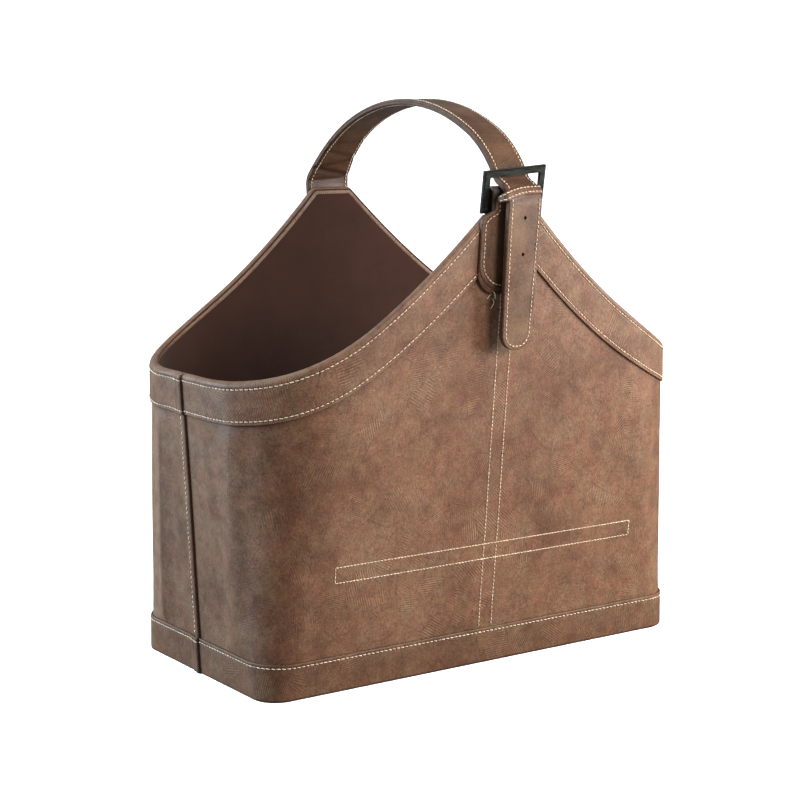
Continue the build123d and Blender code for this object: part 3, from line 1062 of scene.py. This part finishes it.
def on_keeper(along, section):
    """Points of a keeper section bent round the strap's last bend, with the angle of each."""
    angle = keeper_angle(along, section[:, 0])
    middle = LAST_BEND * REACH + (KEEPER_GAP - STRAP - KEEPER_BACK_GAP) / 2
    radius = middle + section[:, 1]
    y = BEND_CENTRE[0] - radius * np.cos(angle)
    z = BEND_CENTRE[1] + radius * np.sin(angle)
    return np.stack([section[:, 0], y, z], axis=-1), angle


def keeper_piece(material):
    """Loop of leather round the strap's last bend, with rolled edges and sunk rows."""
    loop, outward = keeper_loop()
    rim = [(-0.5, -0.4), (-0.5, 0.1), (-0.47, 0.45), (-0.42, 0.62)]
    crest = []
    for along in np.linspace(-0.34, 0.34, 13):
        crest.append((along, 0.71 + 0.5 * groove(abs(along) - KEEPER_ROW, 0.22, 0.08)))
    far_rim = [(-along, height) for along, height in rim[::-1]]
    section = rim + crest + far_rim + [(0.42, -0.62), (-0.42, -0.62)]
    rows = [on_keeper(along, loop + outward * height)[0] for along, height in section]
    rows.append(rows[0])
    obj = grid("keeper_leather", np.array(rows), material, closed=True, flip=True)
    # Painted shade on the keeper's rolled rims and on its slack left end.
    rim_shade = np.array([0.5 * (height < 0.3) for _, height in section])
    end_shade = 0.3 * unit((-loop[:, 0] - STRAP_HALF) / 3)
    shade = np.maximum(rim_shade[:, None], end_shade[None, :])
    set_share(obj, "shade", np.concatenate([shade, shade[:1]]))
    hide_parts("keeper_loop")
    return finish_mesh(obj, "basket")


# Threads

def resample(points, outward, pitch):
    """Evenly spaced places along a line, with directions along and outward."""
    points = np.asarray(points, float)
    outward = np.asarray(outward, float)
    run = lengths(points)
    count = max(int(round(run[-1] / pitch)), 1)
    places = (np.arange(count) + 0.5) * run[-1] / count
    middle = along_line(places, run, points)
    normal = along_line(places, run, outward)
    along = normed(along_line(places + 0.4, run, points) - along_line(places - 0.4, run, points))
    normal = normal - along * np.sum(along * normal, axis=1, keepdims=True)
    return middle, along, normed(normal)


def sew(name, lines, material, body="basket", pitch=PITCH, length=STITCH):
    """One mesh of short threads along one or more lines of (points, outward)."""
    rng = random.Random(name)
    points = []
    faces = []
    for line, outward in lines:
        for middle, along, normal in zip(*resample(line, outward, pitch)):
            side = np.cross(along, normal)
            yaw = rng.uniform(0.02, 0.14)
            ahead = along * math.cos(yaw) + side * math.sin(yaw)
            across = side * math.cos(yaw) - along * math.sin(yaw)
            size = rng.uniform(0.9, 1.08)
            start = len(points)
            for share, lift, thick in SECTIONS:
                centre = middle + ahead * length * size * share + normal * lift
                for k in range(RING):
                    turn = 2 * math.pi * k / RING
                    spoke = across * math.cos(turn) + normal * math.sin(turn)
                    points.append(centre + spoke * THREAD * thick)
            tube = grid_faces(len(SECTIONS), RING, closed=True)
            faces += [tuple(start + v for v in face) for face in tube]
    obj = new_object(name, points, faces, material)
    finish_mesh(obj, body, 80)
    return obj


def wall_line(turns, z, out, rear):
    """A line round the wall with its outward directions."""
    points = wall(turns, z, out, rear)
    return points, wall(turns, z, np.asarray(out) + 1.0, rear) - points


def rim_row(drop, rear):
    turns = spread_turns()
    lift = band_lift(turns, np.full_like(turns, END_HEIGHT), rear)
    points = under_rim(turns, drop, lift, rear)
    return points, wall(turns, points[:, 2], 1.0 + lift, rear) - points


def foot_row(rear):
    turns = spread_turns()
    z = np.full_like(turns, BASE_BAND - FOOT_ROW)
    lift = lap_lift(turns, z) if rear else np.zeros_like(turns)
    return wall_line(turns, z, lift, rear)


def seam_row(right):
    """Row on the lap of one end wall."""
    z = np.linspace(BASE_BAND + 2, END_HEIGHT - TOP_BAND - 1, 60)
    part = (2 * ROLL_HALF + 0.6) / (half_depth(z) - corner(z))
    turns = 5 - part if right else part
    return wall_line(turns, z, -BAND + LAP_THICK, True)


def face_row(ends, samples=80):
    """Straight row on the front cover between two (x, z) ends."""
    (x0, z0), (x1, z1) = ends
    x = np.linspace(x0, x1, samples)
    z = np.linspace(z0, z1, samples)
    swell = np.array([unevenness((a, -half_depth(b) + BAND, b)) for a, b in zip(x, z)])
    top = rim_height(x) - TOP_BAND
    y = -half_depth(z) + BAND - swell * calm(z, top)
    points = np.stack([x, y, z], axis=-1)
    return points, np.tile([0.0, -1.0, -LEAN], (samples, 1))


def strap_sewing(runs, across, depth):
    """A row on the strap at one depth, with its outward directions."""
    points = on_strap(runs, across, np.full_like(runs, depth))
    outer = on_strap(runs, across, np.full_like(runs, depth - 1.0))
    sign = 1 if depth < STRAP / 2 else -1
    return points, sign * (outer - points)


def strap_row(start, stop, side, depth):
    """Row along one edge of the handle."""
    runs = np.linspace(start, stop, 260)
    return strap_sewing(runs, side * (half_at(runs) - EDGE_ROW), depth)


def tail_row(depth):
    """Row down one edge of the tail, round its tip and up the other edge."""
    sides = np.linspace(KEEPER_RUN + 1.5, TOTAL_RUN - TAIL_TIP_FILLET, 120)
    bend = np.linspace(0, np.pi / 2, 14)
    radius = TAIL_TIP_FILLET - EDGE_ROW
    tip = TOTAL_RUN - TAIL_TIP_FILLET + radius * np.sin(bend)
    tip_across = TAIL_TIP_HALF - TAIL_TIP_FILLET + radius * np.cos(bend)
    half_run = np.concatenate([sides, tip])
    half_across = np.concatenate([half_at(sides) - EDGE_ROW, tip_across])
    runs = np.concatenate([half_run, half_run[::-1]])
    across = np.concatenate([half_across, -half_across[::-1]])
    return strap_sewing(runs, across, depth)


def tab_row():
    """Row round the tab from one side of the neck's top to the other."""
    outline = shield(TAB_ROW)
    half = len(outline) // 2
    outline = np.concatenate([outline[half + 4:], outline[:half - 4]])
    points = on_front(outline[:, 0], outline[:, 1], LOOP + TAB - 0.05 + tab_lift(outline[:, 1]))
    return points, np.tile([0.0, -1.0, -LEAN], (len(points), 1))


def keeper_row(along):
    """Row across the keeper's face and round its left end."""
    loop, outward = keeper_loop()
    seen = (loop[:, 0] < STRAP_HALF) & (loop[:, 1] > -1.5)
    points, angle = on_keeper(along, (loop + outward * KEEPER / 2)[seen])
    spread, rise = outward[seen].T
    return points, np.stack([spread, -rise * np.cos(angle), rise * np.sin(angle)], axis=-1)


def leg_foot_row():
    """Row across the foot of the strap's rear leg."""
    half = STRAP_REAR_HALF - EDGE_ROW
    across = np.linspace(-half, half, 40)
    return strap_sewing(np.full_like(across, EDGE_ROW + 1.0), across, 0.0)


def loose_ends(material):
    """A few thread ends left long where the centre rows pass under the tab."""
    rng = random.Random(5)
    points = []
    faces = []
    foot = PEAK_HEIGHT - TAB_DROP
    for x, z in ((-14.5, foot - 1), (-11.0, foot - 2), (-14.0, foot - 6)):
        place = np.array([x, -half_depth(z) + BAND - 0.4, z])
        heading = np.array([rng.uniform(-0.9, -0.2), -0.8, rng.uniform(-0.5, 0.6)])
        start = len(points)
        for _ in range(LOOSE_STEPS):
            drift = np.array([rng.uniform(-0.4, 0.4), rng.uniform(-0.05, 0.25), -0.16])
            heading = normed(heading + drift)
            for k in range(RING):
                turn = 2 * math.pi * k / RING
                points.append(place + LOOSE_THREAD * np.array([math.cos(turn), 0.3, math.sin(turn)]))
            place = place + heading * LOOSE_STEP
        tube = grid_faces(LOOSE_STEPS, RING, closed=True)
        faces += [tuple(start + v for v in face) for face in tube]
    return finish_mesh(new_object("loose_thread_ends", points, faces, material), "basket")


# The build

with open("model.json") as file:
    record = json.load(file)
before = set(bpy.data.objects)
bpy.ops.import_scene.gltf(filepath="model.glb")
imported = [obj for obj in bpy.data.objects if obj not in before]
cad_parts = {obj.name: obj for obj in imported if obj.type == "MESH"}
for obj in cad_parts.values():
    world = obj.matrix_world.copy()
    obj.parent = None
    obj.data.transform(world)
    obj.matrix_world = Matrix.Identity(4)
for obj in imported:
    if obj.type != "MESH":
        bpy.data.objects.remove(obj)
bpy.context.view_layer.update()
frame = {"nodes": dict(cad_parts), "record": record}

COVER_LEATHER = leather("cover_leather", (0.137, 0.0645, 0.0350))
BAND_LEATHER = leather("band_leather", (0.140, 0.0680, 0.0390))
# The base bands use a darker copy of the band leather, painted shade for the less lit foot.
SHADED_BASE_LEATHER = leather("base_leather_painted_shade", (0.113, 0.0520, 0.0270))
STRAP_LEATHER = leather("strap_leather", (0.108, 0.0520, 0.0265), 0.7)
# The tab uses a darker copy of the strap leather, painted shade for the shadow of the tail and strap.
SHADED_TAB_LEATHER = leather("tab_leather_painted_shade", (0.084, 0.0385, 0.0195), 0.7)
# The loop is near-black, painted shade for the shadow it lies in under the ring and strap.
SHADED_LOOP_LEATHER = leather("loop_leather", (0.034, 0.022, 0.018), 0.2, 0.4)
SOLE_LEATHER = leather("sole_leather", (0.050, 0.034, 0.026), 0.2, 0.4)
PAINT = edge_paint()
LINING = lining_cloth()
THREAD_CREAM = thread()
METAL = gunmetal()
BOARD = plain_board()
SLOT_MATERIALS = {
    "cover_leather": COVER_LEATHER,
    "band_leather": BAND_LEATHER,
    "strap_leather": STRAP_LEATHER,
    "loop_leather": SHADED_LOOP_LEATHER,
    "sole": SOLE_LEATHER,
    "lining": LINING,
    "ring_metal": METAL,
    "board": BOARD,
}
for row in frame["record"]["subparts"]:
    node = frame["nodes"][row["node"]]
    node.data.materials.clear()
    node.data.materials.append(SLOT_MATERIALS[row["material_slot"]])

for rear in HALVES:
    half_name = "rear" if rear else "front"
    top_band(half_name + "_top_leather", rear, BAND_LEATHER)
    base_band(half_name + "_base_leather_painted_shade", rear, SHADED_BASE_LEATHER)
    cover(half_name + "_wrap", rear, COVER_LEATHER)

handle = strap_piece("handle_strap", 0.0, KEEPER_RUN, STRAP_LEATHER, PAINT)
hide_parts("strap_face", "strap_backing")
finish_mesh(handle, "basket")
tail = strap_piece("strap_tail", KEEPER_RUN, TOTAL_RUN, STRAP_LEATHER, PAINT)
punch_holes(tail)
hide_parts("tail_face", "tail_backing")
finish_mesh(tail, None)
bend_with_tail(tail)
tab(SHADED_TAB_LEATHER)
keeper_piece(STRAP_LEATHER)

sew("rim_threads", [rim_row(RIM_ROW, rear) for rear in HALVES], THREAD_CREAM)
sew("band_threads", [rim_row(TOP_BAND - FOOT_ROW, rear) for rear in HALVES], THREAD_CREAM)
sew("base_threads", [foot_row(rear) for rear in HALVES], THREAD_CREAM)
sew("seam_threads", [seam_row(right) for right in (False, True)], THREAD_CREAM)
centre_ends = (BASE_BAND + 1, PEAK_HEIGHT - TAB_DROP)
centre_rows = [face_row([(x, z) for z in centre_ends]) for x in (-CENTRE_LINES, CENTRE_LINES)]
sew("centre_threads", centre_rows, THREAD_CREAM, **CENTRE_SEWING)
pocket = [(-POCKET_HALF, POCKET_LOW), (POCKET_HALF, POCKET_LOW)]
pocket += [(x, POCKET_HIGH) for x, _ in pocket[::-1]]
pocket_rows = [face_row((pocket[k - 1], pocket[k])) for k in range(4)]
sew("pocket_threads", pocket_rows, THREAD_CREAM, **POCKET_SEWING)
edges = [(side, depth) for side in (-1, 1) for depth in STRAP_FACES]
handle_rows = [strap_row(10, KEEPER_RUN - 6, side, depth) for side, depth in edges]
sew("handle_threads", [*handle_rows, leg_foot_row()], THREAD_CREAM, **STRAP_SEWING)
tail_rows = [tail_row(depth) for depth in STRAP_FACES]
tail_threads = sew("tail_threads", tail_rows, THREAD_CREAM, body=None, **STRAP_SEWING)
bend_with_tail(tail_threads)
sew("tab_threads", [tab_row()], THREAD_CREAM, **STRAP_SEWING)
keeper_rows = [keeper_row(along) for along in (-KEEPER_ROW, KEEPER_ROW)]
sew("keeper_threads", keeper_rows, THREAD_CREAM, **KEEPER_SEWING)
loose_ends(THREAD_CREAM)


# Stage, light and camera

def make_stage():
    """White floor with a cove, and a round white wall; neither lights the object."""
    material = pale_floor()
    run = [(FLOOR_NEAR, 0.0), (COVE_START, 0.0)]
    for angle in np.radians(np.arange(0, 91, 9)):
        run.append((COVE_START + COVE * math.sin(angle), COVE - COVE * math.cos(angle)))
    run.append((COVE_START + COVE, COVE_TOP))
    forward = np.array([0.5709, 0.8051])
    sideways = np.array([0.8051, -0.5709])
    sides = (-STAGE_HALF, STAGE_HALF)
    rows = []
    for along, z in run:
        rows.append([(*(forward * along + sideways * across), z - 0.05) for across in sides])
    floor = grid("stage_floor", np.array(rows), material)
    for polygon in floor.data.polygons:
        polygon.use_smooth = True
    around = np.radians(np.arange(0, 360, 6))
    circle = [(BACKDROP * math.cos(a), BACKDROP * math.sin(a)) for a in around]
    rows = [[(x, y, z) for x, y in circle] for z in BACKDROP_ENDS]
    backdrop = grid("stage_wall", np.array(rows), material, closed=True)
    backdrop.visible_shadow = False
    for piece in (floor, backdrop):
        piece.visible_diffuse = False
        piece.visible_glossy = False


def area_light(name, place, target, size, power, colour):
    data = bpy.data.lights.new(name, "AREA")
    data.shape = "DISK"
    data.size = size
    data.energy = power
    data.color = colour
    lamp = bpy.data.objects.new(name, data)
    bpy.context.scene.collection.objects.link(lamp)
    lamp.location = place
    lamp.rotation_mode = "QUATERNION"
    lamp.rotation_quaternion = (Vector(target) - Vector(place)).to_track_quat("-Z", "Y")


def make_light():
    world = bpy.data.worlds.new("studio")
    bpy.context.scene.world = world
    world.use_nodes = True
    backdrop = world.node_tree.nodes["Background"]
    backdrop.inputs["Color"].default_value = (1.0, 1.0, 1.0, 1)
    backdrop.inputs["Strength"].default_value = 0.38
    area_light("key", (0.16, -1.05, 0.62), (0.0, -0.1, 0.22), 0.46, 10.6, (1.0, 0.95, 0.89))
    area_light("fill", (-1.9, 1.3, 0.9), (0, 0, 0.2), 1.2, 112, (0.62, 0.83, 1.0))
    area_light("right", (0.72, -0.62, 0.42), (0.1, -0.1, 0.2), 0.45, 13.5, (1.0, 0.99, 0.96))
    area_light("top", (-0.25, 0.4, 1.75), (0, 0, 0.2), 0.9, 8, (0.86, 0.93, 1.0))
    bpy.context.scene.view_settings.view_transform = "Standard"


def make_camera():
    turn = math.radians(CAMERA_TURN)
    tilt = math.radians(CAMERA_TILT)
    roll = math.radians(CAMERA_ROLL)
    back = Vector((-math.sin(turn) * math.cos(tilt), -math.cos(turn) * math.cos(tilt), math.sin(tilt)))
    right = Vector((math.cos(turn), -math.sin(turn), 0))
    up = back.cross(right)
    place = Vector((0, 0, AIM_HEIGHT)) - right * CAMERA_LEFT - up * CAMERA_DROP
    place = place + back * CAMERA_AWAY
    rolled = right * math.cos(roll) + up * math.sin(roll)
    upright = up * math.cos(roll) - right * math.sin(roll)
    data = bpy.data.cameras.new("photo_camera")
    data.sensor_width = 36.0
    data.lens = LENS
    data.clip_end = 50.0
    camera = bpy.data.objects.new("photo_camera", data)
    bpy.context.scene.collection.objects.link(camera)
    axes = Matrix((rolled, upright, back)).transposed().to_4x4()
    camera.matrix_world = Matrix.Translation(place * MM) @ axes
    bpy.context.scene.camera = camera


make_stage()
make_light()
make_camera()
